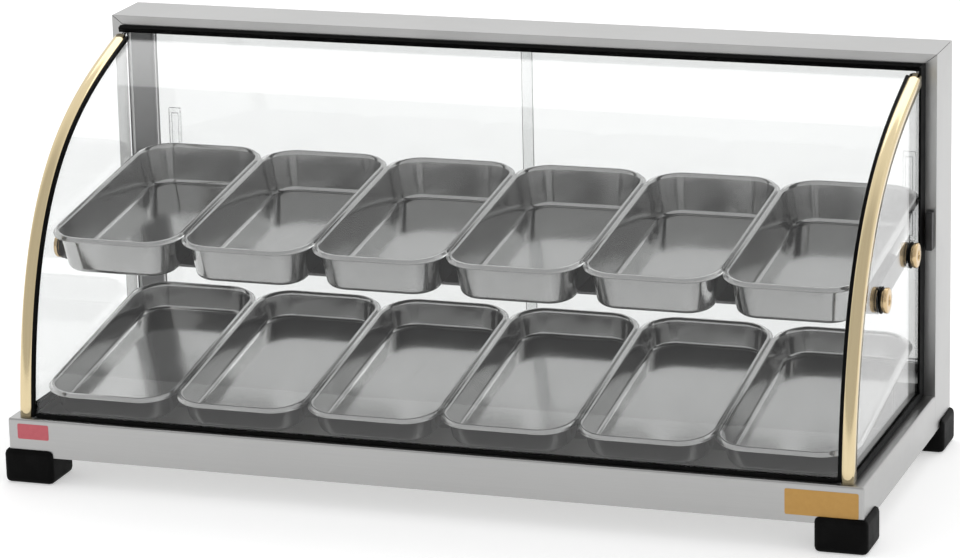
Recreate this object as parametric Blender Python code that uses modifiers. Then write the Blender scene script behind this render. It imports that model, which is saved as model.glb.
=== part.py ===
"""Countertop heated display case with two tiers of sloping food trays.

A stainless base carries a rear portal frame. Flat side panes and one bent front pane close the
case, gold corner mouldings cover the glass edges, and two sliding panes close the back.
Units are metres. X runs to the right, Y to the rear and Z up; the feet stand on Z = 0.
"""
import math

import bmesh
import bpy
from mathutils import Matrix, Vector, geometry

# ---- driving dimensions -------------------------------------------------------------------
CASE_W = 0.950            # across the base
CASE_D = 0.398            # front apron to the back of the portal frame
CASE_TOP = 0.450
FOOT_H = 0.030            # floor to the underside of the base
FOOT_OUT = 0.005          # a foot stands proud of the base by this much
BASE_H = 0.042
SHEET = 0.0012
GAP = 0.0003              # between pieces that touch

PORTAL_D = 0.073          # depth of the rear frame
POST_W = 0.023
RAIL_H = 0.018
SILL_TOP = 0.085

GLASS_T = 0.004
SIDE_GLASS_X = 0.458      # middle of each side pane
GLASS_INSET = 0.007       # moulding face to the outer glass face
TRIM_OUT_X = 0.463
TRIM_W = 0.014
TRIM_T = 0.0015
TRIM_DEPTH = 0.014
TRIM_END = 0.303          # where the mouldings stop under the top rail
SEAL_W = 0.0036           # rubber seen beside each moulding
SIDE_SEAL_H = 0.008       # channel under an end pane
HEAD_SEAL = 0.3160        # depth where the strip at the pane's head starts

TRAY_W = 0.148
TRAY_L = 0.292
UPPER_DEEP, LOWER_DEEP = 0.044, 0.030
TRAY_DRAFT = 0.16         # inward run of a tray wall for each metre of depth
TRAY_R = 0.038
TRAY_T = 0.001
TRAY_PITCH = 0.151
TRAYS = 6
UPPER_TILT = math.radians(7.6)
LOWER_TILT = math.radians(9.6)
UPPER_CENTRE = (0.2128, 0.2771)  # rim centre of the upper row: depth, height
LOWER_CENTRE = (0.1810, 0.1164)

SHELF_HALF = 0.4555       # the upper shelf reaches this far each way
SHELF_D = 0.150
SHELF_FLANGE = 0.024      # end flanges turned up beside the trays
SHELF_LIP = 0.003         # front and rear edges turned down
BOLT_R = 0.003
BOLTS = {"front": (0.134, 0.2315), "rear": (0.268, 0.2444)}     # depth, height
HEAD_R = 0.0135
HEAD_T = 0.007
WASHER_T = 0.002

DOOR_IN = 0.373           # depth of the middle of the inner sliding pane
DOOR_OUT = 0.385
DOOR_LAP = 0.0045         # each door passes the centre by this much
DOOR_Z = (0.0870, 0.4440)
PULL_H, PULL_W, PULL_T = 0.100, 0.014, 0.005

ELEMENT_R = 0.004
ELEMENT_Z = 0.041
KNOB_R = 0.019
KNOB_OUT = 0.018          # the knob stands out behind the case by this much
PANEL_Z = 0.0575          # height of the controls
KNOB_X, LAMP_X, SWITCH_X, GLAND_X = -0.330, -0.285, -0.240, 0.400

FRONT_Y = -(CASE_D + KNOB_OUT - FOOT_OUT) / 2      # centres the whole unit on Y = 0
BASE_TOP = FOOT_H + BASE_H
PORTAL_Y = CASE_D - PORTAL_D
HALF_W = CASE_W / 2
POST_X = HALF_W - POST_W                           # inner face of each post
GLASS_OUT_X = SIDE_GLASS_X + GLASS_T / 2
GLASS_IN_X = SIDE_GLASS_X - GLASS_T / 2
SLOT = 0.0005                                      # clearance of a pane in a rubber channel

# Bezier of the moulding's front face as (depth, height): foot, two handles, head
CURVE = ((0.0030, BASE_TOP), (0.0246, 0.3300), (0.1466, 0.3860), (0.2939, 0.4314))
CURVE_STEPS = 14


def depth(d):
    """World Y of a distance behind the front apron."""
    return FRONT_Y + d


for old in list(bpy.data.objects):
    bpy.data.objects.remove(old)
parts = bpy.data.collections.new("heated_display_case")
cutters = bpy.data.collections.new("cutters")
bpy.context.scene.collection.children.link(parts)
bpy.context.scene.collection.children.link(cutters)

COLOURS = {
    "steel": ((0.62, 0.62, 0.61, 1), 0.35, 1.0),
    "tray_steel": ((0.70, 0.70, 0.70, 1), 0.20, 1.0),
    "glass": ((0.85, 0.90, 0.90, 1), 0.05, 0.0),
    "gold": ((0.83, 0.68, 0.38, 1), 0.25, 1.0),
    "rubber": ((0.03, 0.03, 0.03, 1), 0.70, 0.0),
    "brass": ((0.78, 0.57, 0.25, 1), 0.30, 1.0),
    "aluminium": ((0.80, 0.80, 0.81, 1), 0.40, 1.0),
    "plastic": ((0.05, 0.05, 0.05, 1), 0.45, 0.0),
    "lens": ((0.80, 0.10, 0.04, 1), 0.15, 0.0),
}


def add(name, data, kind, place=(0, 0, 0), turn=(0, 0, 0)):
    """Put a mesh or curve into the parts collection with a material of its own."""
    colour, roughness, metallic = COLOURS[kind]
    mat = bpy.data.materials.new(name + "_" + kind)
    mat.use_nodes = True
    shader = mat.node_tree.nodes["Principled BSDF"]
    shader.inputs["Base Color"].default_value = colour
    shader.inputs["Roughness"].default_value = roughness
    shader.inputs["Metallic"].default_value = metallic
    data.materials.append(mat)
    obj = bpy.data.objects.new(name, data)
    obj.location = place
    obj.rotation_euler = turn
    parts.objects.link(obj)
    return obj


def mesh_of(bm, name):
    mesh = bpy.data.meshes.new(name)
    bm.to_mesh(mesh)
    bm.free()
    return mesh


def block_mesh(name, size):
    bm = bmesh.new()
    bmesh.ops.create_cube(bm, size=1, matrix=Matrix.Diagonal((*size, 1)))
    return mesh_of(bm, name)


def span(x, y, z):
    """Centre and size of a box given its limits; y is a depth behind the front apron."""
    lows, highs = (x[0], depth(y[0]), z[0]), (x[1], depth(y[1]), z[1])
    centre = [(a + b) / 2 for a, b in zip(lows, highs)]
    return centre, [b - a for a, b in zip(lows, highs)]


def box(name, x, y, z, kind):
    centre, size = span(x, y, z)
    return add(name, block_mesh(name, size), kind, centre)


def cutter(mesh, place, turn=(0, 0, 0)):
    obj = bpy.data.objects.new("cut", mesh)
    obj.location = place
    obj.rotation_euler = turn
    obj.hide_render = True
    obj.display_type = "WIRE"
    cutters.objects.link(obj)
    return obj


def combine(obj, tool, operation="DIFFERENCE"):
    mod = obj.modifiers.new("boolean", "BOOLEAN")
    mod.operation = operation
    mod.solver = "EXACT"
    mod.object = tool


def cut_box(obj, x, y, z):
    centre, size = span(x, y, z)
    combine(obj, cutter(block_mesh("cut", size), centre))


def rod_mesh(name, radius, length, segments=20, tip=None):
    """A cylinder along local Z."""
    bm = bmesh.new()
    bmesh.ops.create_cone(bm, cap_ends=True, segments=segments, radius1=radius,
                          radius2=tip or radius, depth=length)
    mesh = mesh_of(bm, name)
    for face in mesh.polygons:
        face.use_smooth = len(face.vertices) == 4
    return mesh


ALONG_X = (0, math.pi / 2, 0)
ALONG_Y = (math.pi / 2, 0, 0)


def drill(obj, place, radius, length, turn, segments=20):
    combine(obj, cutter(rod_mesh("cut", radius, length, segments), place, turn))


def bevel(obj, width, segments=2):
    mod = obj.modifiers.new("bevel", "BEVEL")
    mod.width = width
    mod.segments = segments
    mod.limit_method = "ANGLE"
    mod.angle_limit = math.radians(50)


# ---- the bent outline shared by the front pane, the mouldings and the side panes ------------
def case_curve(inset, low=BASE_TOP + GAP, back=PORTAL_Y - 0.0024):
    """Points (depth, height) of the outline moved inwards, from height `low` to depth `back`."""
    knots = [Vector((d, z, 0)) for d, z in CURVE]
    line = geometry.interpolate_bezier(*knots, CURVE_STEPS)
    run = (line[-1] - line[-2]).normalized()
    line = [line[0] - (line[1] - line[0])] + line + [line[-1] + run * 0.05]
    moved = []
    for i, point in enumerate(line):
        ahead = line[min(i + 1, len(line) - 1)] - line[max(i - 1, 0)]
        moved.append(point + Vector((ahead.y, -ahead.x, 0)).normalized() * inset)

    def crossing(axis, value):
        for a, b in zip(moved, moved[1:]):
            if (a[axis] - value) * (b[axis] - value) <= 0:
                return a.lerp(b, (value - a[axis]) / (b[axis] - a[axis]))
    kept = [p for p in moved if p.y > low + 0.002 and p.x < back - 0.002]
    ends = crossing(1, low), crossing(0, back)
    return [(p.x, p.y) for p in (ends[0], *kept, ends[1])]


def bent_strip(name, rows, thickness, kind):
    """A curved sheet through rows of (x, outline) pairs, thickened inwards from the outline."""
    bm = bmesh.new()
    x, outline = rows[0]
    verts = [bm.verts.new((x, depth(d), z)) for d, z in outline]
    edges = [bm.edges.new(pair) for pair in zip(verts, verts[1:])]
    for x, outline in rows[1:]:
        grown = bmesh.ops.extrude_edge_only(bm, edges=edges)["geom"]
        edges = [g for g in grown if isinstance(g, bmesh.types.BMEdge)
                 and all(v not in verts for v in g.verts)]
        new = sorted({v for e in edges for v in e.verts}, key=lambda v: v.index)
        lookup = {}
        for vert in new:
            old = min(verts, key=lambda v: (v.co - vert.co).length)
            lookup[verts.index(old)] = vert
        verts = [lookup[i] for i in range(len(outline))]
        for vert, (d, z) in zip(verts, outline):
            vert.co = (x, depth(d), z)
    bmesh.ops.recalc_face_normals(bm, faces=bm.faces)
    front = min(bm.faces, key=lambda f: f.calc_center_median().y)
    if front.normal.y > 0:
        bmesh.ops.reverse_faces(bm, faces=bm.faces)
    for face in bm.faces:
        face.smooth = True
    obj = add(name, mesh_of(bm, name), kind)
    mod = obj.modifiers.new("sheet", "SOLIDIFY")
    mod.thickness = thickness
    mod.offset = -1
    mod.use_even_offset = True
    return obj


# ---- base: folded apron, bottom plate, heated deck and the rests for the lower trays ---------
SIDE_FLANGE_X = 0.4532
FRONT_FLANGE = 0.030
apron = box("base_apron", (-HALF_W, HALF_W), (0, PORTAL_Y - GAP), (FOOT_H, BASE_TOP), "steel")
cut_box(apron, (-HALF_W + SHEET, HALF_W - SHEET), (SHEET, CASE_D), (0, BASE_TOP - SHEET))
cut_box(apron, (-SIDE_FLANGE_X, SIDE_FLANGE_X), (FRONT_FLANGE, CASE_D), (0, CASE_TOP))
bevel(apron, 0.002, 2)

INSIDE_X = HALF_W - SHEET - GAP
bottom = box("bottom_plate", (-INSIDE_X, INSIDE_X), (SHEET + GAP, CASE_D - SHEET - GAP),
             (FOOT_H, FOOT_H + SHEET), "steel")
for side in (-1, 1):
    posts = sorted((side * (POST_X - GAP), side * HALF_W))
    cut_box(bottom, posts, (PORTAL_Y - 2 * GAP, CASE_D), (0, BASE_TOP))

DECK_TOP = 0.050
PASS_X = (0.322, 0.398)                # opening for the two ends of the heating element
PASS_Z = (0.0, 0.0465)
deck_low = FOOT_H + SHEET + GAP
deck = box("deck_plate", (-INSIDE_X, INSIDE_X), (SHEET + GAP, PORTAL_Y - 2 * GAP),
           (deck_low, DECK_TOP), "steel")
cut_box(deck, (-INSIDE_X + SHEET, INSIDE_X - SHEET),
        (2 * SHEET + GAP, PORTAL_Y - 2 * GAP - SHEET), (0, DECK_TOP - SHEET))
cut_box(deck, PASS_X, (PORTAL_Y - 0.02, PORTAL_Y + 0.01), PASS_Z)


def lower_rest(name, front, width=0.012):
    """An inverted channel whose front edge meets the underside of the lower trays."""
    drop = LOWER_DEEP / math.cos(LOWER_TILT)
    top = LOWER_CENTRE[1] - drop + (front - LOWER_CENTRE[0]) * math.tan(LOWER_TILT) - GAP
    rest = box(name, (-0.440, 0.440), (front, front + width), (DECK_TOP + GAP, top), "steel")
    cut_box(rest, (-0.5, 0.5), (front + SHEET, front + width - SHEET), (0, top - SHEET))


lower_rest("tray_rest_front", 0.090)
lower_rest("tray_rest_rear", 0.258)

# ---- rear portal frame: two posts, mitred top rail, control sill -----------------------------
def mitre(obj, side, keep_post):
    """Trim a post or the rail along the corner line from outside top to inside bottom."""
    across, down = POST_W, RAIL_H
    reach = 0.2
    turn = math.atan2(down, across)
    outer = Vector((side * HALF_W, depth(CASE_D / 2), CASE_TOP))
    inwards = Vector((-side * math.cos(turn), 0, -math.sin(turn)))
    normal = Vector((-side * math.sin(turn), 0, math.cos(turn)))
    away = normal if keep_post else -normal
    centre = outer + away * (reach / 2 - GAP / 2)
    angle = side * turn
    combine(obj, cutter(block_mesh("cut", (reach, 2 * CASE_D, reach)), centre, (0, -angle, 0)))


for side, word in ((-1, "left"), (1, "right")):
    post = box("rear_upright_" + word, sorted((side * POST_X, side * HALF_W)),
               (PORTAL_Y, CASE_D), (FOOT_H, CASE_TOP), "steel")
    cut_box(post, sorted((side * (POST_X + SHEET), side * (HALF_W - SHEET))),
            (PORTAL_Y + SHEET, CASE_D - SHEET), (0, CASE_TOP - RAIL_H - SHEET))
    mitre(post, side, True)

rail = box("top_rail", (-HALF_W, HALF_W), (PORTAL_Y, CASE_D), (CASE_TOP - RAIL_H, CASE_TOP), "steel")
cut_box(rail, (-POST_X + 0.001, POST_X - 0.001), (PORTAL_Y + SHEET, CASE_D - SHEET), (0, CASE_TOP - SHEET))
mitre(rail, -1, False)
mitre(rail, 1, False)

SILL_X = POST_X - GAP
sill = box("rear_sill", (-SILL_X, SILL_X), (PORTAL_Y, CASE_D), (deck_low, SILL_TOP), "steel")
cut_box(sill, (-0.5, 0.5), (PORTAL_Y + SHEET, CASE_D + 0.01), (0, SILL_TOP - SHEET))
cut_box(sill, PASS_X, (PORTAL_Y - 0.01, PORTAL_Y + 0.01), PASS_Z)

panel = box("control_panel", (-SILL_X, SILL_X), (CASE_D - SHEET, CASE_D),
            (FOOT_H, SILL_TOP - SHEET - GAP), "steel")
panel_face = depth(CASE_D)
SWITCH_W, SWITCH_H = 0.022, 0.028
drill(panel, (KNOB_X, panel_face, PANEL_Z), 0.0065, 0.02, ALONG_Y)
drill(panel, (LAMP_X, panel_face, PANEL_Z), 0.0055, 0.02, ALONG_Y)
drill(panel, (GLAND_X, panel_face, PANEL_Z), 0.0085, 0.02, ALONG_Y)
cut_box(panel, (SWITCH_X - SWITCH_W / 2, SWITCH_X + SWITCH_W / 2), (CASE_D - 0.01, CASE_D + 0.01),
        (PANEL_Z - SWITCH_H / 2, PANEL_Z + SWITCH_H / 2))

# ---- electrics: element, its support, thermostat, switch, lamp, cable gland -------------------
def round_path(corners, radius, steps=5):
    """Corner points joined by straight runs and arcs."""
    out = [Vector(corners[0])]
    for before, here, after in zip(corners, corners[1:], corners[2:]):
        here = Vector(here)
        start = here + (Vector(before) - here).normalized() * radius
        end = here + (Vector(after) - here).normalized() * radius
        out += [start.lerp(here, t).lerp(here.lerp(end, t), t) for t in
                [i / steps for i in range(steps + 1)]]
    return out + [Vector(corners[-1])]


ELEMENT_FRONT, ELEMENT_BACK = 0.085, 0.225
element_corners = [(0.380, 0.352), (0.380, ELEMENT_FRONT), (-0.400, ELEMENT_FRONT),
                   (-0.400, ELEMENT_BACK), (0.340, ELEMENT_BACK), (0.340, 0.352)]
element_line = round_path([(x, depth(d), ELEMENT_Z) for x, d in element_corners], 0.030)
tube = bpy.data.curves.new("heating_element", "CURVE")
tube.dimensions = "3D"
tube.bevel_depth = ELEMENT_R
tube.bevel_resolution = 1
tube.use_fill_caps = True
spline = tube.splines.new("POLY")
spline.points.add(len(element_line) - 1)
for point, place in zip(spline.points, element_line):
    point.co = (*place, 1)
add("heating_element", tube, "steel")

support = box("element_support", (-0.051, -0.049), (ELEMENT_FRONT - 0.012, ELEMENT_BACK + 0.012),
              (deck_low, DECK_TOP - SHEET - GAP), "steel")
for d in (ELEMENT_FRONT, ELEMENT_BACK):
    drill(support, (-0.050, depth(d), ELEMENT_Z), ELEMENT_R + GAP, 0.02, ALONG_X)

inner_face = CASE_D - SHEET - GAP
thermostat = box("thermostat_body", (KNOB_X - 0.017, KNOB_X + 0.017), (inner_face - 0.022, inner_face),
                 (PANEL_Z - 0.020, PANEL_Z + 0.020), "aluminium")
combine(thermostat, cutter(rod_mesh("cut", 0.006, 0.010), (KNOB_X, panel_face - 0.002, PANEL_Z), ALONG_Y),
        "UNION")
drill(thermostat, (KNOB_X, panel_face, PANEL_Z), 0.0034, 0.026, ALONG_Y)

# knob with its shaft, turning about its own axis
knob = add("thermostat_knob", rod_mesh("knob", KNOB_R * 0.92, KNOB_OUT - 0.0045, 28, KNOB_R), "plastic",
           (KNOB_X, panel_face + (KNOB_OUT + 0.0045) / 2, PANEL_Z), ALONG_Y)
combine(knob, cutter(rod_mesh("cut", 0.003, 0.018), (KNOB_X, panel_face + 0.0005, PANEL_Z), ALONG_Y),
        "UNION")
bevel(knob, 0.0015, 1)

SWITCH_FLANGE = 0.0035
housing = box("power_switch_housing", (SWITCH_X - 0.0105, SWITCH_X + 0.0105),
              (CASE_D - 0.020, CASE_D + 0.001), (PANEL_Z - 0.0135, PANEL_Z + 0.0135), "plastic")
flange_at, flange_size = span((SWITCH_X - 0.013, SWITCH_X + 0.013),
                              (CASE_D + GAP, CASE_D + GAP + SWITCH_FLANGE),
                              (PANEL_Z - 0.0165, PANEL_Z + 0.0165))
combine(housing, cutter(block_mesh("cut", flange_size), flange_at), "UNION")
ROCKER_W, ROCKER_H = 0.0150, 0.0220
cut_box(housing, (SWITCH_X - ROCKER_W / 2 - GAP, SWITCH_X + ROCKER_W / 2 + GAP),
        (CASE_D - 0.009, CASE_D + 0.02), (PANEL_Z - ROCKER_H / 2 - 0.0018, PANEL_Z + ROCKER_H / 2 + 0.0018))

# rocker pivots about X at the housing's face
ROCKER_AXIS = depth(CASE_D - 0.001)
rocker_outline = [(-ROCKER_H / 2, -0.0035), (ROCKER_H / 2, -0.0035), (ROCKER_H / 2, 0.0040),
                  (0, 0.0058), (-ROCKER_H / 2, 0.0082)]
flat = bpy.data.curves.new("power_switch_rocker", "CURVE")
flat.dimensions = "2D"
flat.fill_mode = "BOTH"
flat.extrude = ROCKER_W / 2
spline = flat.splines.new("POLY")
spline.points.add(len(rocker_outline) - 1)
spline.use_cyclic_u = True
for point, (z, y) in zip(spline.points, rocker_outline):
    point.co = (y, z, 0, 1)
add("power_switch_rocker", flat, "lens", (SWITCH_X, ROCKER_AXIS, PANEL_Z), (math.pi / 2, 0, math.pi / 2))

lamp = add("pilot_lamp", rod_mesh("lamp", 0.005, 0.020), "lens",
           (LAMP_X, panel_face - 0.005, PANEL_Z), ALONG_Y)
combine(lamp, cutter(rod_mesh("cut", 0.0068, 0.004), (LAMP_X, panel_face + GAP + 0.002, PANEL_Z), ALONG_Y),
        "UNION")

gland = add("cord_gland", rod_mesh("gland", 0.0080, 0.024), "plastic",
            (GLAND_X, panel_face, PANEL_Z), ALONG_Y)
combine(gland, cutter(rod_mesh("cut", 0.0115, 0.006, 6), (GLAND_X, panel_face + GAP + 0.003, PANEL_Z), ALONG_Y),
        "UNION")
drill(gland, (GLAND_X, panel_face, PANEL_Z), 0.0040, 0.06, ALONG_Y)

# ---- glass: bent front pane, flat side panes, rubber seals and gold mouldings ----------------
GLASS_LOW = BASE_TOP + 0.0028
front_outline = case_curve(GLASS_INSET, GLASS_LOW)
bent_strip("front_glass", [(-GLASS_OUT_X, front_outline), (GLASS_OUT_X, front_outline)], GLASS_T, "glass")


def pane_loop(curve, points):
    line = curve.splines.new("POLY")
    line.points.add(len(points) - 1)
    line.use_cyclic_u = True
    for point, (d, z) in zip(line.points, points):
        point.co = (depth(d), z, 0, 1)


for side, word in ((-1, "left"), (1, "right")):
    # the left pane ends on a thin strip, the right pane runs behind an outside strip
    back = PORTAL_Y - (0.0025 if side < 0 else 2 * GAP)
    inner = case_curve(GLASS_INSET + GLASS_T + GAP, GLASS_LOW, back)
    pane = bpy.data.curves.new("side_glass_" + word, "CURVE")
    pane.dimensions = "2D"
    pane.fill_mode = "BOTH"
    pane.extrude = GLASS_T / 2
    pane_loop(pane, inner + [(back, GLASS_LOW)])
    for d, z in BOLTS.values():
        turn = [2 * math.pi * i / 16 for i in range(16)]
        pane_loop(pane, [(d + 0.0036 * math.cos(a), z + 0.0036 * math.sin(a)) for a in turn])
    add("side_glass_" + word, pane, "glass", (side * SIDE_GLASS_X, 0, 0), (math.pi / 2, 0, math.pi / 2))

    # gold moulding: a front flange over the pane edges and a flange down the side
    outline = case_curve(0, back=TRIM_END)
    inward = case_curve(TRIM_DEPTH, back=TRIM_END)
    count = len(outline)
    fit = [inward[round(i * (len(inward) - 1) / (count - 1))] for i in range(count)]
    trim = bent_strip("trim_" + word, [(side * (TRIM_OUT_X - TRIM_W), outline),
                                       (side * TRIM_OUT_X, outline), (side * TRIM_OUT_X, fit)],
                      TRIM_T, "gold")
    bevel(trim, 0.0007, 1)

    # rubber between the moulding and the front pane
    rubber = case_curve(TRIM_T + GAP, BASE_TOP + 0.001, TRIM_END)
    bent_strip("trim_seal_" + word,
               [(side * (TRIM_OUT_X - TRIM_W - SEAL_W), rubber), (side * (GLASS_OUT_X - GAP), rubber)],
               GLASS_INSET - TRIM_T - 2 * GAP, "rubber")

    # channel under the side pane
    seal_x = sorted((side * (SIDE_GLASS_X - 0.0045), side * (SIDE_GLASS_X + 0.0045)))
    seal = box("side_seal_bottom_" + word, seal_x, (0.0190, PORTAL_Y - 2 * GAP),
               (BASE_TOP + GAP, BASE_TOP + SIDE_SEAL_H), "rubber")
    cut_box(seal, sorted((side * (GLASS_IN_X - SLOT), side * (GLASS_OUT_X + SLOT))),
            (0, CASE_D), (GLASS_LOW - GAP, CASE_TOP))

box("side_seal_rear_left", (-GLASS_OUT_X, -GLASS_IN_X), (PORTAL_Y - 0.0025 + GAP, PORTAL_Y - GAP),
    (BASE_TOP + SIDE_SEAL_H + GAP, 0.428), "rubber")
box("side_seal_rear_right", (GLASS_OUT_X + GAP, GLASS_OUT_X + 0.0028), (TRIM_END + GAP, PORTAL_Y - GAP),
    (BASE_TOP + SIDE_SEAL_H + GAP, 0.4398), "rubber")

# channel under the front pane, and the strip that seals its head to the top rail
glass_foot = front_outline[0][0]
SEAL_FRONT_X = TRIM_OUT_X - TRIM_W - SEAL_W - GAP
front_seal = box("front_glass_seal", (-SEAL_FRONT_X, SEAL_FRONT_X),
                 (glass_foot - 0.0025, glass_foot + GLASS_T + 0.0028), (BASE_TOP + GAP, BASE_TOP + 0.0042),
                 "rubber")
cut_box(front_seal, (-0.5, 0.5), (glass_foot - SLOT, glass_foot + GLASS_T + 0.0010),
        (GLASS_LOW - 0.0009, CASE_TOP))

head = [p for p in case_curve(0.0008) if p[0] > HEAD_SEAL]
head = [(HEAD_SEAL, head[0][1] - (head[0][0] - HEAD_SEAL) * 0.3)] + head
bent_strip("top_glass_seal", [(-0.4640, head), (GLASS_OUT_X, head)], GLASS_INSET - 0.0008 - GAP, "rubber")

# rubber block that holds the right pane against the upright
box("glass_clip_right", (GLASS_OUT_X + 0.0048, GLASS_OUT_X + 0.0128), (PORTAL_Y - 0.010, PORTAL_Y - GAP),
    (0.237, 0.279), "plastic")

# ---- sliding rear doors ----------------------------------------------------------------------
TRACK = (DOOR_IN - 0.0044, DOOR_OUT + 0.0044)
tracks = {"door_track_bottom": (SILL_TOP + GAP, SILL_TOP + 0.0095, SILL_TOP + 0.0015, 1),
          "door_track_top": (CASE_TOP - 0.016, CASE_TOP - SHEET - GAP, CASE_TOP - 0.0030, 0)}
for name, (low, high, web, open_up) in tracks.items():
    track = box(name, (-POST_X + 0.0015, POST_X - 0.0015), TRACK, (low, high), "aluminium")
    for d in (DOOR_IN, DOOR_OUT):
        groove = (web, 1) if open_up else (0, web)
        cut_box(track, (-0.5, 0.5), (d - GLASS_T / 2 - 0.0008, d + GLASS_T / 2 + 0.0008), groove)

DOOR_EDGE = POST_X - 0.002
for word, d, x in (("left", DOOR_OUT, (-DOOR_EDGE, DOOR_LAP)), ("right", DOOR_IN, (-DOOR_LAP, DOOR_EDGE))):
    box("door_glass_" + word, x, (d - GLASS_T / 2, d + GLASS_T / 2), DOOR_Z, "glass")
    pull_x = -DOOR_EDGE + 0.020 if word == "left" else DOOR_EDGE - 0.020
    pull = box("door_pull_" + word, (pull_x - PULL_W / 2, pull_x + PULL_W / 2),
               (d + GLASS_T / 2 + GAP, d + GLASS_T / 2 + GAP + PULL_T), (0.230, 0.230 + PULL_H), "plastic")
    cut_box(pull, (pull_x - 0.004, pull_x + 0.004), (d + GLASS_T / 2 + 0.0025, d + 0.02),
            (0.236, 0.224 + PULL_H))

# ---- upper shelf: a folded plate hung between the side panes on four brass bolts --------------
shelf_d = (BOLTS["front"][0] + BOLTS["rear"][0]) / 2
shelf_top = (UPPER_CENTRE[1] - UPPER_DEEP / math.cos(UPPER_TILT)
             + (shelf_d - UPPER_CENTRE[0]) * math.tan(UPPER_TILT) - GAP / math.cos(UPPER_TILT))
shelf_turn = Matrix.Rotation(UPPER_TILT, 4, "X")
shelf_at = Vector((0, depth(shelf_d), shelf_top))


def shelf_block(x, low, high, run):
    """Mesh and place of a box lying along the sloping shelf, `low` and `high` from its top face."""
    size = (2 * x, run, high - low)
    return block_mesh("shelf", size), shelf_at + shelf_turn @ Vector((0, 0, (low + high) / 2))


mesh, place = shelf_block(SHELF_HALF, -SHELF_LIP, SHELF_FLANGE, SHELF_D)
shelf = add("upper_shelf", mesh, "steel", place, (UPPER_TILT, 0, 0))
mesh, place = shelf_block(SHELF_HALF - SHEET, 0, 2 * SHELF_FLANGE, 2 * SHELF_D)
combine(shelf, cutter(mesh, place, (UPPER_TILT, 0, 0)))
mesh, place = shelf_block(2 * SHELF_HALF, -2 * SHELF_LIP, -SHEET, SHELF_D - 2 * SHEET)
combine(shelf, cutter(mesh, place, (UPPER_TILT, 0, 0)))

for word, (d, z) in BOLTS.items():
    drill(shelf, (0, depth(d), z), BOLT_R + GAP, 1.2, ALONG_X)
    for side, hand in ((-1, "left"), (1, "right")):
        inner = SHELF_HALF - SHEET - 0.0008
        outer = GLASS_OUT_X + WASHER_T
        head = add("shelf_bolt_%s_%s" % (word, hand), rod_mesh("head", HEAD_R, HEAD_T, 24), "brass",
                   (side * (outer + HEAD_T / 2), depth(d), z), ALONG_X)
        shank = rod_mesh("cut", BOLT_R, outer + 0.003 - inner)
        combine(head, cutter(shank, (side * (inner + outer + 0.003) / 2, depth(d), z), ALONG_X), "UNION")
        bevel(head, 0.0012, 1)

# ---- trays -------------------------------------------------------------------------------------
def tray_mesh(deep):
    """Pressed tray about its rim centre: a flat blank with rounded corners, pushed down."""
    # from the hem inwards: (inset, depth below the rim) of rim, wall, fillet and floor
    rings = ((0.0025, 0.0), (TRAY_DRAFT * (deep - 0.006), deep - 0.006), (0.0020, deep - 0.0022),
             (0.0034, deep - TRAY_T))
    bm = bmesh.new()
    bmesh.ops.create_grid(bm, x_segments=1, y_segments=1, size=0.5,
                          matrix=Matrix.Diagonal((TRAY_W, TRAY_L, 1, 1)))
    bmesh.ops.bevel(bm, geom=bm.verts[:], offset=TRAY_R, offset_type="OFFSET", segments=4,
                    profile=0.5, affect="VERTICES", material=-1)
    for inset, drop in rings:
        floor = max(bm.faces, key=lambda f: f.calc_area())
        bmesh.ops.inset_region(bm, faces=[floor], thickness=inset, use_boundary=True,
                               use_even_offset=True)
        for vert in floor.verts:
            vert.co.z = -drop
    hem = [e for e in bm.edges if e.is_boundary]
    grown = bmesh.ops.extrude_edge_only(bm, edges=hem)["geom"]
    lowered = [g for g in grown if isinstance(g, bmesh.types.BMVert)]
    bmesh.ops.translate(bm, vec=(0, 0, -0.003), verts=lowered)
    bmesh.ops.recalc_face_normals(bm, faces=bm.faces)
    floor = max(bm.faces, key=lambda f: f.calc_area())
    if floor.normal.z < 0:
        bmesh.ops.reverse_faces(bm, faces=bm.faces)
    for face in bm.faces:
        face.smooth = True
    return mesh_of(bm, "tray")


for row, (d, z), tilt, deep in (("upper", UPPER_CENTRE, UPPER_TILT, UPPER_DEEP),
                                ("lower", LOWER_CENTRE, LOWER_TILT, LOWER_DEEP)):
    for i in range(TRAYS):
        x = (i - (TRAYS - 1) / 2) * TRAY_PITCH
        tray = add("tray_%s_%d" % (row, i + 1), tray_mesh(deep), "tray_steel", (x, depth(d), z),
                   (tilt, 0, 0))
        mod = tray.modifiers.new("sheet", "SOLIDIFY")
        mod.thickness = TRAY_T
        mod.offset = -1
        mod.use_even_offset = True

# ---- rubber corner feet ------------------------------------------------------------------------
FOOT_W = 0.057
FOOT_LIP = 0.008
for y_word, near, far in (("front", 0, FOOT_W - FOOT_OUT), ("rear", CASE_D - FOOT_W + FOOT_OUT, CASE_D)):
    for side, x_word in ((-1, "left"), (1, "right")):
        grow = (near - FOOT_OUT, far) if y_word == "front" else (near, far + FOOT_OUT)
        outer_x = sorted((side * (HALF_W + FOOT_OUT), side * (HALF_W + FOOT_OUT - FOOT_W)))
        foot = box("foot_%s_%s" % (y_word, x_word), outer_x, grow, (0, FOOT_H + FOOT_LIP), "rubber")
        pocket_x = sorted((side * (HALF_W + GAP), 0))
        pocket = (-GAP, 0.2) if y_word == "front" else (0.2, CASE_D + GAP)
        bevel(foot, 0.006, 3)
        cut_box(foot, pocket_x, pocket, (FOOT_H - GAP, BASE_TOP))
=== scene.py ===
import math

import bmesh
import bpy
from mathutils import Matrix, Vector, geometry


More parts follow.
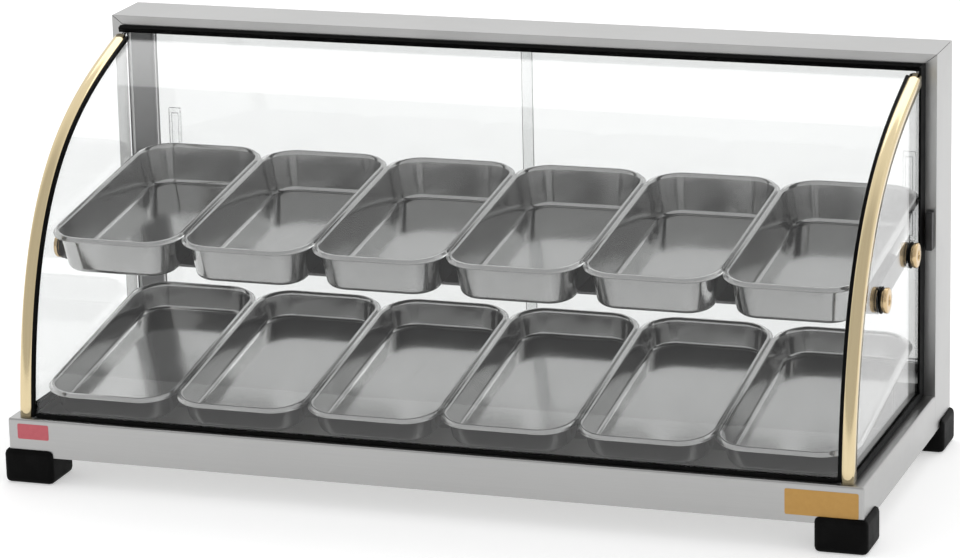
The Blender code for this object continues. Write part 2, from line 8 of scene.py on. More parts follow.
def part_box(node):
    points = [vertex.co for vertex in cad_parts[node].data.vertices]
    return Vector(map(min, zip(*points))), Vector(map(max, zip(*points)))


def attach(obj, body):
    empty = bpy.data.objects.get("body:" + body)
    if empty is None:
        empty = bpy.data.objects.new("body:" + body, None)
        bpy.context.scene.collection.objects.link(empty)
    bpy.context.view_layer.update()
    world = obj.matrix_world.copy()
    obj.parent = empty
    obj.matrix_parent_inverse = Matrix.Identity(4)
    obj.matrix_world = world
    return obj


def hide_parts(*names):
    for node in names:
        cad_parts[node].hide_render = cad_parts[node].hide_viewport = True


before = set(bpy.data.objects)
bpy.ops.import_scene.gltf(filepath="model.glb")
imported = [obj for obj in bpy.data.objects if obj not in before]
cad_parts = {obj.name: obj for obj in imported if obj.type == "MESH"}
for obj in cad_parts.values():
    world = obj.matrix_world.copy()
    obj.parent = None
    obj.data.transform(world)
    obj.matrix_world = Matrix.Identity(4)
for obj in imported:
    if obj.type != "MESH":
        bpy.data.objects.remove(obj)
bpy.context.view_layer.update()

# ---- camera ---------------------------------------------------------------------------------
# A long lens a little above the case, off to its right, looking down along the tray rows.
camera_data = bpy.data.cameras.new("camera")
camera_data.sensor_width = 36.0
camera_data.lens = 155.96
camera_data.shift_x = 0.0042
camera_data.shift_y = 0.0074
camera_data.clip_start = 0.05
camera = bpy.data.objects.new("camera", camera_data)
camera.location = (1.420, -4.1025, 1.404)
camera.rotation_euler = [math.radians(a) for a in (74.45, 1.36, 18.79)]
bpy.context.scene.collection.objects.link(camera)
bpy.context.scene.camera = camera

# ---- studio ---------------------------------------------------------------------------------
# A plain white floor runs out under a surround that is white behind the case and grey on the
# near side, so that the pressed steel has something to reflect. One wide softbox hangs behind.
world = bpy.data.worlds.new("studio")
bpy.context.scene.world = world
world.use_nodes = True
surround = world.node_tree.nodes["Background"]
surround.inputs["Color"].default_value = (1.0, 1.0, 1.0, 1)
heading = world.node_tree.nodes.new("ShaderNodeTexCoord")
split = world.node_tree.nodes.new("ShaderNodeSeparateXYZ")
fade = world.node_tree.nodes.new("ShaderNodeMapRange")
for socket, value in (("From Min", -0.30), ("From Max", 0.25), ("To Min", 0.66), ("To Max", 1.07)):
    fade.inputs[socket].default_value = value
world.node_tree.links.new(heading.outputs["Generated"], split.inputs["Vector"])
world.node_tree.links.new(split.outputs["Y"], fade.inputs["Value"])
world.node_tree.links.new(fade.outputs["Result"], surround.inputs["Strength"])
bpy.context.scene.view_settings.view_transform = "Standard"

bm = bmesh.new()
bmesh.ops.create_grid(bm, x_segments=4, y_segments=4, size=9.0)
floor_mesh = bpy.data.meshes.new("studio_floor")
bm.to_mesh(floor_mesh)
bm.free()
floor_paint = bpy.data.materials.new("studio_floor")
floor_paint.use_nodes = True
shader = floor_paint.node_tree.nodes["Principled BSDF"]
shader.inputs["Base Color"].default_value = (0.80, 0.80, 0.80, 1)
shader.inputs["Roughness"].default_value = 0.9
shader.inputs["Specular IOR Level"].default_value = 0.1
shader.inputs["Emission Color"].default_value = (1, 1, 1, 1)
shader.inputs["Emission Strength"].default_value = 0.42
floor_mesh.materials.append(floor_paint)
floor = bpy.data.objects.new("studio_floor", floor_mesh)
bpy.context.scene.collection.objects.link(floor)

lamp_data = bpy.data.lights.new("rear_softbox", "AREA")
lamp_data.shape = "RECTANGLE"
lamp_data.size, lamp_data.size_y = 3.6, 1.1
lamp_data.energy = 15
lamp = bpy.data.objects.new("rear_softbox", lamp_data)
lamp.location = (-0.1, 1.9, 2.5)
lamp.rotation_euler = (-0.64, 0, 0)
bpy.context.scene.collection.objects.link(lamp)

# ---- base -----------------------------------------------------------------------------------
# The base is brushed stainless sheet, 1.2 mm thick, folded to a 42 mm apron round three sides
# with its top edges turned in as flanges. The bends have a 2.4 mm radius outside.
BASE_HALF, BASE_FRONT, BASE_BACK = 0.475, -0.2055, 0.1192
BASE_LOW, BASE_TOP = 0.030, 0.072
SHEET, BEND_R = 0.0012, 0.0024
SIDE_FLANGE, FRONT_FLANGE = 0.0218, 0.030


def shader_group(name, inputs, outputs):
    """A node group with named number inputs and outputs, plus its two end nodes."""
    group = bpy.data.node_groups.new(name, "ShaderNodeTree")
    for title, kind, value in inputs:
        socket = group.interface.new_socket(title, in_out="INPUT", socket_type=kind)
        if value is not None:
            socket.default_value = value
    for title, kind in outputs:
        group.interface.new_socket(title, in_out="OUTPUT", socket_type=kind)
    return group, group.nodes.new("NodeGroupInput"), group.nodes.new("NodeGroupOutput")


def noise_node(tree, scale, detail, vector=None, rough=0.55):
    node = tree.nodes.new("ShaderNodeTexNoise")
    node.inputs["Scale"].default_value = scale
    node.inputs["Detail"].default_value = detail
    node.inputs["Roughness"].default_value = rough
    if vector is not None:
        tree.links.new(vector, node.inputs["Vector"])
    return node


def maths(tree, operation, a, b):
    node = tree.nodes.new("ShaderNodeMath")
    node.operation = operation
    for socket, value in zip(node.inputs, (a, b)):
        if isinstance(value, (int, float)):
            socket.default_value = value
        else:
            tree.links.new(value, socket)
    return node.outputs[0]


# Long fine scratches of a brushed finish: the vector is squeezed along the brushing first.
brushed_grain, grain_in, grain_out = shader_group(
    "brushed_grain", [("Vector", "NodeSocketVector", None), ("Depth", "NodeSocketFloat", 1.0)],
    [("Height", "NodeSocketFloat"), ("Streak", "NodeSocketFloat")])
coarse = noise_node(brushed_grain, 1.0, 4, grain_in.outputs["Vector"])
fine = noise_node(brushed_grain, 3.7, 3, grain_in.outputs["Vector"], 0.7)
streak = maths(brushed_grain, "ADD", maths(brushed_grain, "MULTIPLY", coarse.outputs["Fac"], 0.6),
               maths(brushed_grain, "MULTIPLY", fine.outputs["Fac"], 0.4))
brushed_grain.links.new(streak, grain_out.inputs["Streak"])
brushed_grain.links.new(maths(brushed_grain, "MULTIPLY", streak, grain_in.outputs["Depth"]),
                        grain_out.inputs["Height"])

# Soft blotches left by wiping and handling, from 0 on clean metal to 1.
wipe_marks, wipe_in, wipe_out = shader_group(
    "wipe_marks", [("Vector", "NodeSocketVector", None), ("Size", "NodeSocketFloat", 9.0)],
    [("Mask", "NodeSocketFloat")])
blotch = noise_node(wipe_marks, 9.0, 5, wipe_in.outputs["Vector"], 0.6)
wipe_marks.links.new(wipe_in.outputs["Size"], blotch.inputs["Scale"])
spread = wipe_marks.nodes.new("ShaderNodeMapRange")
spread.inputs["From Min"].default_value = 0.42
spread.inputs["From Max"].default_value = 0.72
wipe_marks.links.new(blotch.outputs["Fac"], spread.inputs["Value"])
wipe_marks.links.new(spread.outputs["Result"], wipe_out.inputs["Mask"])


def place_group(tree, group, vector, **values):
    node = tree.nodes.new("ShaderNodeGroup")
    node.node_tree = group
    tree.links.new(vector, node.inputs["Vector"])
    for title, value in values.items():
        node.inputs[title].default_value = value
    return node


def metal(name, colour, dark, roughness, stretch, bump=0.03, wipes=9.0, wiped=0.07):
    """A metal with brushing along the axis that `stretch` leaves small, and wipe marks."""
    mat = bpy.data.materials.new(name)
    mat.use_nodes = True
    tree = mat.node_tree
    shader = tree.nodes["Principled BSDF"]
    shader.inputs["Metallic"].default_value = 1.0
    coords = tree.nodes.new("ShaderNodeTexCoord")
    squeeze = tree.nodes.new("ShaderNodeMapping")
    squeeze.inputs["Scale"].default_value = stretch
    tree.links.new(coords.outputs["Object"], squeeze.inputs["Vector"])
    grain = place_group(tree, brushed_grain, squeeze.outputs["Vector"])
    marks = place_group(tree, wipe_marks, coords.outputs["Object"], Size=wipes)
    tone = tree.nodes.new("ShaderNodeMix")
    tone.data_type = "RGBA"
    tone.inputs[6].default_value = (*dark, 1)
    tone.inputs[7].default_value = (*colour, 1)
    tree.links.new(grain.outputs["Streak"], tone.inputs[0])
    tree.links.new(tone.outputs[2], shader.inputs["Base Color"])
    rough = maths(tree, "ADD", maths(tree, "MULTIPLY", marks.outputs["Mask"], wiped),
                  maths(tree, "ADD", maths(tree, "MULTIPLY", grain.outputs["Streak"], 0.10),
                        roughness - 0.05))
    tree.links.new(rough, shader.inputs["Roughness"])
    relief = tree.nodes.new("ShaderNodeBump")
    relief.inputs["Strength"].default_value = bump
    relief.inputs["Distance"].default_value = 0.0004
    tree.links.new(grain.outputs["Height"], relief.inputs["Height"])
    tree.links.new(relief.outputs["Normal"], shader.inputs["Normal"])
    return mat


STEEL, STEEL_DARK = (0.46, 0.46, 0.455), (0.39, 0.39, 0.387)
steel_along = metal("stainless_brushed_along", STEEL, STEEL_DARK, 0.30, (6, 500, 900))
steel_upright = metal("stainless_brushed_upright", STEEL, STEEL_DARK, 0.30, (700, 700, 6))
steel_deep = metal("stainless_brushed_front_to_back", STEEL, STEEL_DARK, 0.30, (700, 6, 700))
# Rougher mill-finish steel, its colour darkened to near black as painted shade for the upright faces
# towards the doorway.
steel_doorway_painted_shade = metal("stainless_mill_finish_painted_shade", (0.12, 0.12, 0.12), (0.07, 0.07, 0.07), 0.42,
                   (90, 90, 30), 0.02)


def box_of(bm, x, y, z):
    """A box between the limits given, in the bmesh."""
    size = [b - a for a, b in (x, y, z)]
    centre = [(a + b) / 2 for a, b in (x, y, z)]
    return bmesh.ops.create_cube(bm, size=1.0, matrix=Matrix.Translation(centre)
                                 @ Matrix.Diagonal((*size, 1)))["verts"]


def round_edges(bm, edges, width, segments=3):
    bmesh.ops.bevel(bm, geom=list(edges), offset=width, offset_type="OFFSET", segments=segments,
                    profile=0.5, affect="EDGES", material=-1, clamp_overlap=True)


def sharp_edges(bm, angle=0.6):
    return [e for e in bm.edges if len(e.link_faces) == 2 and e.calc_face_angle(0) > angle]


def finish_piece(name, bm, materials, body, slot, *nodes, flat=False):
    """Make the bmesh an object that rides on its body and stands for the nodes named."""
    mesh = bpy.data.meshes.new(name)
    for face in bm.faces:
        face.smooth = not flat
    bm.to_mesh(mesh)
    bm.free()
    if not flat:
        mesh.set_sharp_from_angle(angle=math.radians(38))
    for mat in materials if isinstance(materials, (list, tuple)) else [materials]:
        mesh.materials.append(mat)
    obj = bpy.data.objects.new(name, mesh)
    bpy.context.scene.collection.objects.link(obj)
    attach(obj, body)
    if nodes:
        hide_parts(*nodes)
    return obj


def true_flats(obj):
    """Keep the shading of flat faces flat right up to their rounded edges."""
    obj.modifiers.new("true_flats", "WEIGHTED_NORMAL").keep_sharp = True
    return obj


def face_forward(bm):
    """Turn an open shell's faces outwards: its foremost face looks to the front, which is -Y."""
    bmesh.ops.recalc_face_normals(bm, faces=bm.faces)
    if min(bm.faces, key=lambda f: f.calc_center_median().y).normal.y > 0:
        bmesh.ops.reverse_faces(bm, faces=bm.faces)


def thicken(obj, thickness):
    """Give an open shell the thickness of its sheet, inwards."""
    wall = obj.modifiers.new("sheet", "SOLIDIFY")
    wall.thickness = thickness
    wall.offset = -1
    return wall


bm = bmesh.new()
box_of(bm, (-BASE_HALF, BASE_HALF), (BASE_FRONT, BASE_BACK), (BASE_LOW, BASE_TOP))
lid = next(f for f in bm.faces if f.normal.z > 0.9)
open_faces = [f for f in bm.faces if f.normal.z < -0.9 or f.normal.y > 0.9]
bmesh.ops.delete(bm, geom=open_faces, context="FACES_ONLY")
bmesh.ops.inset_region(bm, faces=[lid], thickness=SIDE_FLANGE, use_boundary=False,
                       use_even_offset=True)
for vert in lid.verts:
    vert.co.y = BASE_FRONT + FRONT_FLANGE if vert.co.y < 0 else BASE_BACK
bmesh.ops.delete(bm, geom=[lid], context="FACES_ONLY")
round_edges(bm, sharp_edges(bm), BEND_R, 5)
face_forward(bm)
apron = finish_piece("base_apron_folded", bm, [steel_along, steel_deep], "case", "stainless_steel",
                     "base_apron")
for face in apron.data.polygons:                    # the ends are brushed front to back
    face.material_index = 1 if abs(face.normal.x) > 0.5 else 0
thicken(apron, SHEET).use_even_offset = True
true_flats(apron)

# ---- heated deck, bottom plate and element --------------------------------------------------
# Under the trays a stainless deck covers a mineral-filled tube element, and a plain plate closes
# the base. All of these are sheet steel, and the tube has blued with the heat.
deck_steel = metal("deck_steel", (0.55, 0.55, 0.54), (0.42, 0.42, 0.41), 0.34, (9, 400, 400),
                   0.02, 6.0, 0.16)
element_steel = metal("heat_blued_steel", (0.20, 0.17, 0.15), (0.10, 0.09, 0.10), 0.45, (60, 60, 60),
                      0.05, 14.0, 0.2)


def dress(node, mat):
    """Give a node that keeps its own shape a finished material."""
    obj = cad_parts[node]
    obj.data.materials.clear()
    obj.data.materials.append(mat)


for node in ("deck_plate", "bottom_plate", "element_support", "tray_rest_front", "tray_rest_rear"):
    dress(node, deck_steel)
dress("heating_element", element_steel)

# ---- rear portal frame ----------------------------------------------------------------------
# Two box uprights and a top rail of folded stainless, 73 mm deep, are mitred at the top corners.
# The edges are eased 0.4 mm by the folding, and the sill and control panel close the foot.
FOLD_EASE = 0.0004


def eased_copy(name, node, mat, body, slot, width=0.0011, segments=3, angle=0.6):
    """The node's own shape with its loose triangles joined, flats cleaned and edges eased."""
    bm = bmesh.new()
    bm.from_mesh(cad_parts[node].data)
    bmesh.ops.remove_doubles(bm, verts=bm.verts[:], dist=0.00002)
    bmesh.ops.dissolve_limit(bm, angle_limit=0.02, verts=bm.verts[:], edges=bm.edges[:])
    if width:
        round_edges(bm, sharp_edges(bm, angle), width, segments)
    return true_flats(finish_piece(name, bm, mat, body, slot, node))


for side, word in ((-1, "left"), (1, "right")):
    upright = eased_copy("rear_upright_%s_folded" % word, "rear_upright_" + word,
                         [steel_upright, steel_doorway_painted_shade], "case", "stainless_steel", FOLD_EASE)
    for face in upright.data.polygons:              # the faces towards the doorway are left as rolled; their near-black colour is painted shade
        face.material_index = 1 if face.normal.x * side < -0.7 else 0
eased_copy("top_rail_folded", "top_rail", steel_along, "case", "stainless_steel", FOLD_EASE)
eased_copy("rear_sill_folded", "rear_sill", steel_along, "case", "stainless_steel", FOLD_EASE)
eased_copy("control_panel_plate", "control_panel", steel_along, "case", "stainless_steel", 0.0003, 2)

# ---- rubber feet ----------------------------------------------------------------------------
# Four moulded black rubber corners wrap the base, with rounded outside edges. They are pushed
# on, and their faces are matt with a little dust.


def moulded(name, dark, light, pores, dust, roughness, relief, gloss=0.5):
    """Moulded rubber or plastic: pores are (scale, detail), relief is (strength, depth)."""
    mat = bpy.data.materials.new(name)
    mat.use_nodes = True
    tree = mat.node_tree
    shader = tree.nodes["Principled BSDF"]
    coords = tree.nodes.new("ShaderNodeTexCoord")
    shader.inputs["Specular IOR Level"].default_value = gloss
    grain = noise_node(tree, *pores, coords.outputs["Object"])
    dusty = place_group(tree, wipe_marks, coords.outputs["Object"], Size=dust)
    tone = tree.nodes.new("ShaderNodeMix")
    tone.data_type = "RGBA"
    tone.inputs[6].default_value = (*dark, 1)
    tone.inputs[7].default_value = (*light, 1)
    tree.links.new(dusty.outputs["Mask"], tone.inputs[0])
    tree.links.new(tone.outputs[2], shader.inputs["Base Color"])
    tree.links.new(maths(tree, "ADD", maths(tree, "MULTIPLY", dusty.outputs["Mask"], 0.15), roughness),
                   shader.inputs["Roughness"])
    bump = tree.nodes.new("ShaderNodeBump")
    bump.inputs["Strength"].default_value, bump.inputs["Distance"].default_value = relief
    tree.links.new(grain.outputs["Fac"], bump.inputs["Height"])
    tree.links.new(bump.outputs["Normal"], shader.inputs["Normal"])
    return mat


rubber = moulded("black_rubber", (0.002, 0.002, 0.002), (0.006, 0.006, 0.006), (900, 3), 40.0, 0.50,
                 (0.25, 0.0003), 0.06)

for corner in ("front_left", "front_right", "rear_left", "rear_right"):
    eased_copy("rubber_foot_" + corner, "foot_" + corner, rubber, "case", "black_rubber", 0)

# ---- glass ----------------------------------------------------------------------------------
# The front is one pane of 4 mm glass bent to a deep curve. Flat panes with the same curve cut in
# their front edges close the ends. All edges are ground and polished.
GLASS_T = 0.004
CURVE = ((0.0030, 0.0720), (0.0246, 0.3300), (0.1466, 0.3860), (0.2939, 0.4314))


def outline(inset, low, back, steps=56):
    """Points (depth, height) of the case's bent outline, moved inwards and cut at both ends."""
    line = geometry.interpolate_bezier(*[Vector((d, z, 0)) for d, z in CURVE], steps)
    run = (line[-1] - line[-2]).normalized()
    line = [line[0] - (line[1] - line[0])] + line + [line[-1] + run * 0.05]
    moved = []
    for i, point in enumerate(line):
        ahead = line[min(i + 1, len(line) - 1)] - line[max(i - 1, 0)]
        moved.append(point + Vector((ahead.y, -ahead.x, 0)).normalized() * inset)

    def crossing(axis, value):
        for a, b in zip(moved, moved[1:]):
            if (a[axis] - value) * (b[axis] - value) <= 0:
                return a.lerp(b, (value - a[axis]) / (b[axis] - a[axis]))
    kept = [p for p in moved if p.y > low + 0.0005 and p.x < back - 0.0005]
    return [crossing(1, low), *kept, crossing(0, back)]


def bent_sheet(bm, section, low, back, steps=56):
    """Sweep a section of (x, inset) points up the bent outline, starting from a flat grid."""
    rows = [outline(inset, low, back, steps) for x, inset in section]
    count = min(len(r) for r in rows)
    before = set(bm.verts)
    bmesh.ops.create_grid(bm, x_segments=len(section) - 1, y_segments=count - 1, size=0.5)
    for vert in [v for v in bm.verts if v not in before]:
        across = round((vert.co.x + 0.5) * (len(section) - 1))
        along = (vert.co.y + 0.5) * (len(rows[across]) - 1)
        lower = min(int(along + 1e-4), len(rows[across]) - 2)
        point = rows[across][lower].lerp(rows[across][lower + 1], along - lower)
        vert.co = (section[across][0], point.x + BASE_FRONT, point.y)
    return [v for v in bm.verts if v not in before]


def clear_glass(name, tint):
    """Polished glass that lets the studio light through to the trays."""
    mat = bpy.data.materials.new(name)
    mat.use_nodes = True
    tree = mat.node_tree
    shader = tree.nodes["Principled BSDF"]
    shader.inputs["Transmission Weight"].default_value = 1.0
    shader.inputs["IOR"].default_value = 1.45
    shader.inputs["Specular IOR Level"].default_value = 0.08     # low-glare coating
    coords = tree.nodes.new("ShaderNodeTexCoord")
    haze = place_group(tree, wipe_marks, coords.outputs["Object"], Size=5.0)
    tone = tree.nodes.new("ShaderNodeMix")
    tone.data_type = "RGBA"
    tone.inputs[6].default_value = (*tint, 1)
    tone.inputs[7].default_value = (*[c * 0.985 for c in tint], 1)
    tree.links.new(haze.outputs["Mask"], tone.inputs[0])
    tree.links.new(tone.outputs[2], shader.inputs["Base Color"])
    tree.links.new(maths(tree, "MULTIPLY", haze.outputs["Mask"], 0.012), shader.inputs["Roughness"])
    path = tree.nodes.new("ShaderNodeLightPath")
    through = tree.nodes.new("ShaderNodeBsdfTransparent")
    through.inputs["Color"].default_value = (*[math.sqrt(c) for c in tint], 1)
    mix = tree.nodes.new("ShaderNodeMixShader")
    passing = maths(tree, "MAXIMUM", path.outputs["Is Shadow Ray"], path.outputs["Is Diffuse Ray"])
    tree.links.new(passing, mix.inputs["Fac"])
    tree.links.new(shader.outputs["BSDF"], mix.inputs[1])
    tree.links.new(through.outputs["BSDF"], mix.inputs[2])
    tree.links.new(mix.outputs["Shader"], tree.nodes["Material Output"].inputs["Surface"])
    return mat


pane_glass = clear_glass("clear_pane_glass", (0.965, 0.972, 0.970))

GLASS_INSET, PANE_HALF, PANE_LOW, PANE_BACK = 0.007, 0.460, 0.0748, 0.3226
across = (-PANE_HALF, 0.003 - PANE_HALF, 0, PANE_HALF - 0.003, PANE_HALF)
bm = bmesh.new()
bent_sheet(bm, [(x, GLASS_INSET) for x in across], PANE_LOW, PANE_BACK)
face_forward(bm)
bent_pane = finish_piece("front_glass_bent", bm, pane_glass, "case", "clear_glass", "front_glass")
thicken(bent_pane, GLASS_T)
ground = bent_pane.modifiers.new("ground_edges", "BEVEL")
ground.width = 0.0006
ground.segments = 2
ground.limit_method = "ANGLE"
ground.angle_limit = math.radians(60)
true_flats(bent_pane)

for word in ("left", "right"):
    dress("side_glass_" + word, pane_glass)

# ---- gold edge mouldings ---------------------------------------------------------------------
# Extruded aluminium mouldings, anodised gold and polished, follow the curve and hide the edges
# where the front pane meets the end panes. A black rubber lip shows along their inner side.
gold = metal("gold_anodised", (0.76, 0.64, 0.41), (0.64, 0.52, 0.31), 0.12, (500, 8, 8), 0.01,
             12.0, 0.05)
TRIM_OUT, TRIM_W, TRIM_DEEP, TRIM_BACK, TRIM_T, LIP_T = 0.463, 0.014, 0.0135, 0.303, 0.0012, 0.0004
for side, word in ((-1, "left"), (1, "right")):
    # half-round face, then the flange that runs down outside the end pane
    face = [(TRIM_OUT - TRIM_W / 2 - math.cos(math.pi * i / 12) * TRIM_W / 2,
             0.0042 * (1 - math.sin(math.pi * i / 12)) + 0.0002) for i in range(13)]
    section = face + [(TRIM_OUT, 0.0075), (TRIM_OUT, TRIM_DEEP)]
    bm = bmesh.new()
    bent_sheet(bm, [(side * x, inset) for x, inset in section], BASE_TOP + 0.0004, TRIM_BACK)
    face_forward(bm)
    thicken(finish_piece("gold_moulding_" + word, bm, gold, "case", "gold_aluminium", "trim_" + word),
            TRIM_T)

    # rubber lip between moulding and front pane
    bm = bmesh.new()
    lip = [(0.4454, 0.0062), (0.4456, 0.0042), (0.4463, 0.0030), (0.4475, 0.0026), (0.4595, 0.0060)]
    bent_sheet(bm, [(side * x, inset) for x, inset in lip], BASE_TOP + 0.0013, TRIM_BACK)
    face_forward(bm)
    thicken(finish_piece("rubber_lip_" + word, bm, rubber, "case", "black_rubber",
                         "trim_seal_" + word), LIP_T)

# ---- glazing rubber --------------------------------------------------------------------------
# Black extruded rubber channels hold the panes on the base, against the uprights and under the
# rail. They are pushed over the glass edges, so they have no fasteners.
for node in ("side_seal_bottom_left", "side_seal_bottom_right", "side_seal_rear_left",
             "side_seal_rear_right", "front_glass_seal", "top_glass_seal"):
    eased_copy(node + "_rubber", node, rubber, "case", "black_rubber", 0.0005, 2)

# ---- trays -----------------------------------------------------------------------------------
# Twelve small pans pressed from one bright stainless blank each: rolled rim, sloping walls, a
# small fillet and a flat floor. The upper row rests on a folded shelf, the lower on two channels.
TRAY_W, TRAY_L, TRAY_PITCH, TRAY_CORNER = 0.148, 0.292, 0.151, 0.038
TRAY_T, TRAY_DRAFT, TRAY_FILLET, RIM_END = 0.0008, 0.16, 0.0055, -0.0026
tray_steel = metal("bright_pressed_steel", (0.50, 0.50, 0.497), (0.44, 0.44, 0.437), 0.12, (45, 5, 45),
                   0.0, 16.0, 0.05)


def pressed_tray(turn, centre, deep):
    """A pan about its rim centre, pushed down ring by ring from a flat rounded blank."""
    bm = bmesh.new()
    bmesh.ops.create_grid(bm, x_segments=1, y_segments=1, size=0.5,
                          matrix=Matrix.Diagonal((TRAY_W, TRAY_L, 1, 1)))
    bmesh.ops.bevel(bm, geom=bm.verts[:], offset=TRAY_CORNER, offset_type="OFFSET", segments=14,
                    profile=0.5, affect="VERTICES", material=-1)
    # (inset, height) of each ring: over the rolled rim, then down to the wall
    rings = [(0.0006, 0.0009), (0.0010, 0.0012), (0.0014, 0.0008), (0.0010, -0.0004),
             (0.0006, -0.0016), (0.0004, RIM_END)]
    draft, bend = math.atan(TRAY_DRAFT), 8
    wall_end = -(deep - TRAY_T) + TRAY_FILLET * (1 - math.sin(draft))
    for i in range(3):                              # three steps of drawn wall
        step = (wall_end - RIM_END) / 3
        rings.append((-TRAY_DRAFT * step, rings[-1][1] + step))
    for i in range(bend):                           # the fillet into the floor
        a = draft + (math.pi / 2 - draft) * i / bend
        b = draft + (math.pi / 2 - draft) * (i + 1) / bend
        rings.append((TRAY_FILLET * (math.cos(a) - math.cos(b)),
                      rings[-1][1] - TRAY_FILLET * (math.sin(b) - math.sin(a))))
    for inset, height in rings:
        floor = max(bm.faces, key=lambda f: f.calc_area())
        bmesh.ops.inset_region(bm, faces=[floor], thickness=inset, use_boundary=True,
                               use_even_offset=True)
        for vert in floor.verts:
            vert.co.z = height
    for height, out in ((-0.0012, 0.0003), (-0.0022, -0.0006), (RIM_END, -0.0012)):  # the hem
        hem = [e for e in bm.edges if e.is_boundary]
        grown = bmesh.ops.extrude_edge_only(bm, edges=hem)["geom"]
        verts = [g for g in grown if isinstance(g, bmesh.types.BMVert)]
        for vert in verts:
            vert.co.z = height
            vert.co.x += math.copysign(out, vert.co.x)
            vert.co.y += math.copysign(out, vert.co.y)
    bmesh.ops.recalc_face_normals(bm, faces=bm.faces)
    floor = max(bm.faces, key=lambda f: f.calc_area())
    if floor.normal.z < 0:
        bmesh.ops.reverse_faces(bm, faces=bm.faces)
    tilted = Matrix.Translation(centre) @ Matrix.Rotation(turn, 4, "X")
    bmesh.ops.transform(bm, matrix=tilted, verts=bm.verts)
    return bm


for row, turn, back, height, deep in (("upper", math.radians(7.6), 0.0073, 0.2771, 0.044),
                                      ("lower", math.radians(9.6), -0.0245, 0.1164, 0.030)):
    for i in range(6):
        node = "tray_%s_%d" % (row, i + 1)
        bm = pressed_tray(turn, ((i - 2.5) * TRAY_PITCH, back, height), deep)
        pan = finish_piece("pan_%s_%d" % (row, i + 1), bm, tray_steel, node, "tray_steel", node)
        thicken(pan, TRAY_T)
        true_flats(pan)

# ---- upper shelf and its brass bolts ---------------------------------------------------------
# A folded stainless plate hangs between the end panes. Each corner is held by a brass bolt with
# a drum head, a short neck against a rubber washer, and a shank through the glass.
BOLT_HEAD_X, WASHER_X, SHANK_R, HEAD_R, WASHER_R = 0.4621, 0.4602, 0.0029, 0.0135, 0.0143
# The shelf steel is near black: painted shade for the shadow that falls under the trays.
shelf_steel_painted_shade = metal("shelf_steel_painted_shade", (0.14, 0.14, 0.14), (0.08, 0.08, 0.08), 0.36, (5, 400, 400), 0.02)
eased_copy("upper_shelf_folded", "upper_shelf", shelf_steel_painted_shade, "case", "stainless_steel", 0.0003, 2)
brass = metal("polished_brass", (0.74, 0.57, 0.34), (0.55, 0.40, 0.22), 0.20, (500, 500, 500),
              0.02, 60.0, 0.1)


def turned(bm, profile, centre, axis_turn, steps=40):
    """Spin a profile of (radius, height) points about its own axis, then turn and place it."""
    verts = [bm.verts.new((r, 0, h)) for r, h in profile]
    edges = [bm.edges.new(pair) for pair in zip(verts, verts[1:])]
    bmesh.ops.spin(bm, geom=verts + edges, cent=(0, 0, 0), axis=(0, 0, 1), angle=2 * math.pi,
                   steps=steps, use_merge=True, use_normal_flip=False)
    bmesh.ops.remove_doubles(bm, verts=bm.verts[:], dist=0.00001)
    bmesh.ops.recalc_face_normals(bm, faces=bm.faces)
    bmesh.ops.transform(bm, matrix=Matrix.Translation(centre) @ axis_turn, verts=bm.verts)


for word in ("front", "rear"):
    for side, hand in ((-1, "left"), (1, "right")):
        node = "shelf_bolt_%s_%s" % (word, hand)
        low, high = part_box(node)
        y, z = (low[1] + high[1]) / 2, (low[2] + high[2]) / 2
        facing = Matrix.Rotation(side * math.pi / 2, 4, "Y")
        bm = bmesh.new()
        turned(bm, [(0, -0.0082), (SHANK_R, -0.0082), (SHANK_R, 0.0), (0.0105, 0.0), (0.0112, 0.0004),
                    (0.0112, 0.0016), (0.0128, 0.0019), (HEAD_R, 0.0026), (HEAD_R, 0.0056),
                    (0.0128, 0.0065), (0.0112, 0.0070), (0.0062, 0.0070), (0.0055, 0.0058),
                    (0, 0.0056)], (side * BOLT_HEAD_X, y, z), facing)
        finish_piece("brass_bolt_%s_%s" % (word, hand), bm, brass, "case", "brass", node)
        bm = bmesh.new()
        turned(bm, [(0.0032, 0), (0.0138, 0), (WASHER_R, 0.0005), (WASHER_R, 0.0014),
                    (0.0138, 0.0018), (0.0032, 0.0018), (0.0032, 0)],
               (side * WASHER_X, y, z), facing)
        finish_piece("rubber_washer_%s_%s" % (word, hand), bm, rubber, "case", "black_rubber")

# ---- sliding doors ---------------------------------------------------------------------------
# Two plain glass panes run past each other in grooved aluminium tracks behind the uprights. Each
# has a clear grip bonded to it. A black moulded clip holds the right end pane to its upright.
door_glass = clear_glass("door_pane_glass", (0.785, 0.792, 0.790))
acrylic = clear_glass("clear_acrylic", (0.97, 0.975, 0.975))
satin = metal("satin_aluminium", (0.80, 0.80, 0.81), (0.70, 0.70, 0.71), 0.36, (6, 400, 400), 0.02)
plastic = moulded("black_moulded_plastic", (0.018, 0.018, 0.019), (0.034, 0.034, 0.035), (1400, 2),
                  55.0, 0.34, (0.2, 0.0002))

for word in ("left", "right"):
    eased_copy("door_pane_" + word, "door_glass_" + word, door_glass, "door_" + word,
               "clear_glass", 0.0006, 2)
    eased_copy("door_grip_" + word, "door_pull_" + word, acrylic, "door_" + word,
               "clear_plastic", 0.0008, 3)
for node in ("door_track_top", "door_track_bottom"):
    eased_copy(node + "_extrusion", node, satin, "case", "aluminium", 0.0003, 2)
eased_copy("glass_clip_block", "glass_clip_right", plastic, "case", "black_plastic", 0.0012, 3)

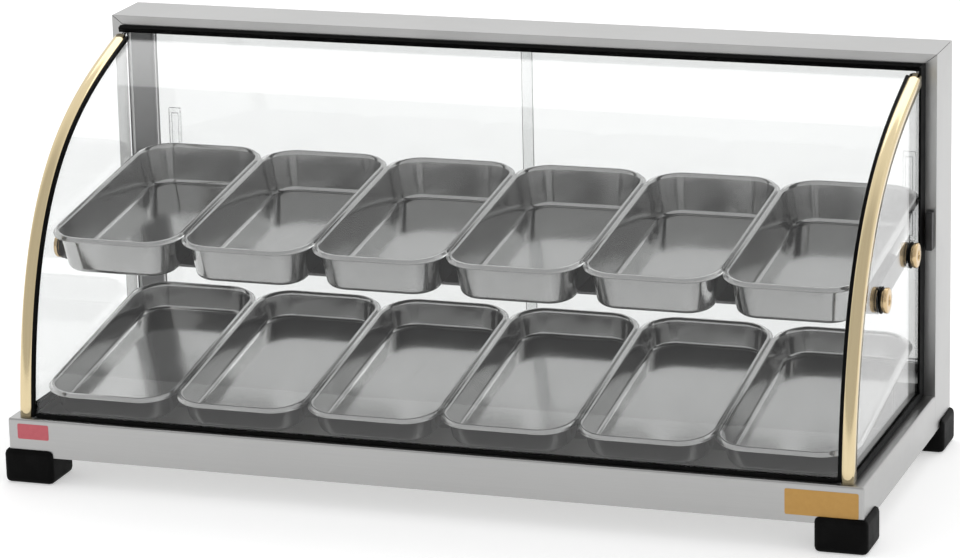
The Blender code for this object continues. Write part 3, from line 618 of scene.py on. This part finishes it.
# ---- controls --------------------------------------------------------------------------------
# Knob, rocker switch, neon lamp and cable gland sit in the panel behind the case. All are moulded
# plastic: the switch and lamp snap into the panel, and the gland has a nut inside.
red = bpy.data.materials.new("red_moulded_lens")
red.use_nodes = True
tree = red.node_tree
shader = tree.nodes["Principled BSDF"]
shader.inputs["Coat Weight"].default_value = 0.4
coords = tree.nodes.new("ShaderNodeTexCoord")
clouds = noise_node(tree, 260, 3, coords.outputs["Object"])
tone = tree.nodes.new("ShaderNodeMix")
tone.data_type = "RGBA"
tone.inputs[6].default_value = (0.52, 0.020, 0.012, 1)
tone.inputs[7].default_value = (0.66, 0.040, 0.022, 1)
tree.links.new(clouds.outputs["Fac"], tone.inputs[0])
tree.links.new(tone.outputs[2], shader.inputs["Base Color"])
tree.links.new(maths(tree, "MULTIPLY", clouds.outputs["Fac"], 0.4), shader.inputs["Roughness"])
eased_copy("rocker_moulding", "power_switch_rocker", red, "power_rocker", "red_lens", 0.0005, 2)
eased_copy("lamp_lens", "pilot_lamp", red, "case", "red_lens", 0.0005, 2, 0.9)
eased_copy("switch_frame", "power_switch_housing", plastic, "case", "black_plastic", 0.0005, 2)
eased_copy("cable_gland", "cord_gland", plastic, "case", "black_plastic", 0.0004, 2, 0.9)
dress("thermostat_body", satin)
dress("thermostat_knob", plastic)

# ---- apron labels ----------------------------------------------------------------------------
# Two blank vinyl stickers on the apron: amber at the right end and red at the left end. They are
# 0.2 mm thick with rounded corners, stuck to the steel.


def vinyl(name, colour, second):
    mat = bpy.data.materials.new(name)
    mat.use_nodes = True
    tree = mat.node_tree
    shader = tree.nodes["Principled BSDF"]
    shader.inputs["Roughness"].default_value = 0.4
    coords = tree.nodes.new("ShaderNodeTexCoord")
    mottle = noise_node(tree, 160, 4, coords.outputs["Object"])
    tone = tree.nodes.new("ShaderNodeMix")
    tone.data_type = "RGBA"
    tone.inputs[6].default_value = (*colour, 1)
    tone.inputs[7].default_value = (*second, 1)
    tree.links.new(mottle.outputs["Fac"], tone.inputs[0])
    tree.links.new(tone.outputs[2], shader.inputs["Base Color"])
    return mat


for name, x, z, colour, second in (
        ("amber_sticker", (0.392, 0.4695), (0.0375, 0.0650), (0.46, 0.24, 0.045), (0.54, 0.30, 0.065)),
        ("red_sticker", (-0.464, -0.4275), (0.0495, 0.0665), (0.48, 0.075, 0.10), (0.58, 0.12, 0.14))):
    bm = bmesh.new()
    box_of(bm, x, (BASE_FRONT - 0.0002, BASE_FRONT + 0.0001), z)
    corners = [e for e in bm.edges if abs((e.verts[0].co - e.verts[1].co).y) > 0.0002]
    round_edges(bm, corners, 0.0018, 4)
    finish_piece(name, bm, vinyl(name, colour, second), "case", "gold_aluminium")
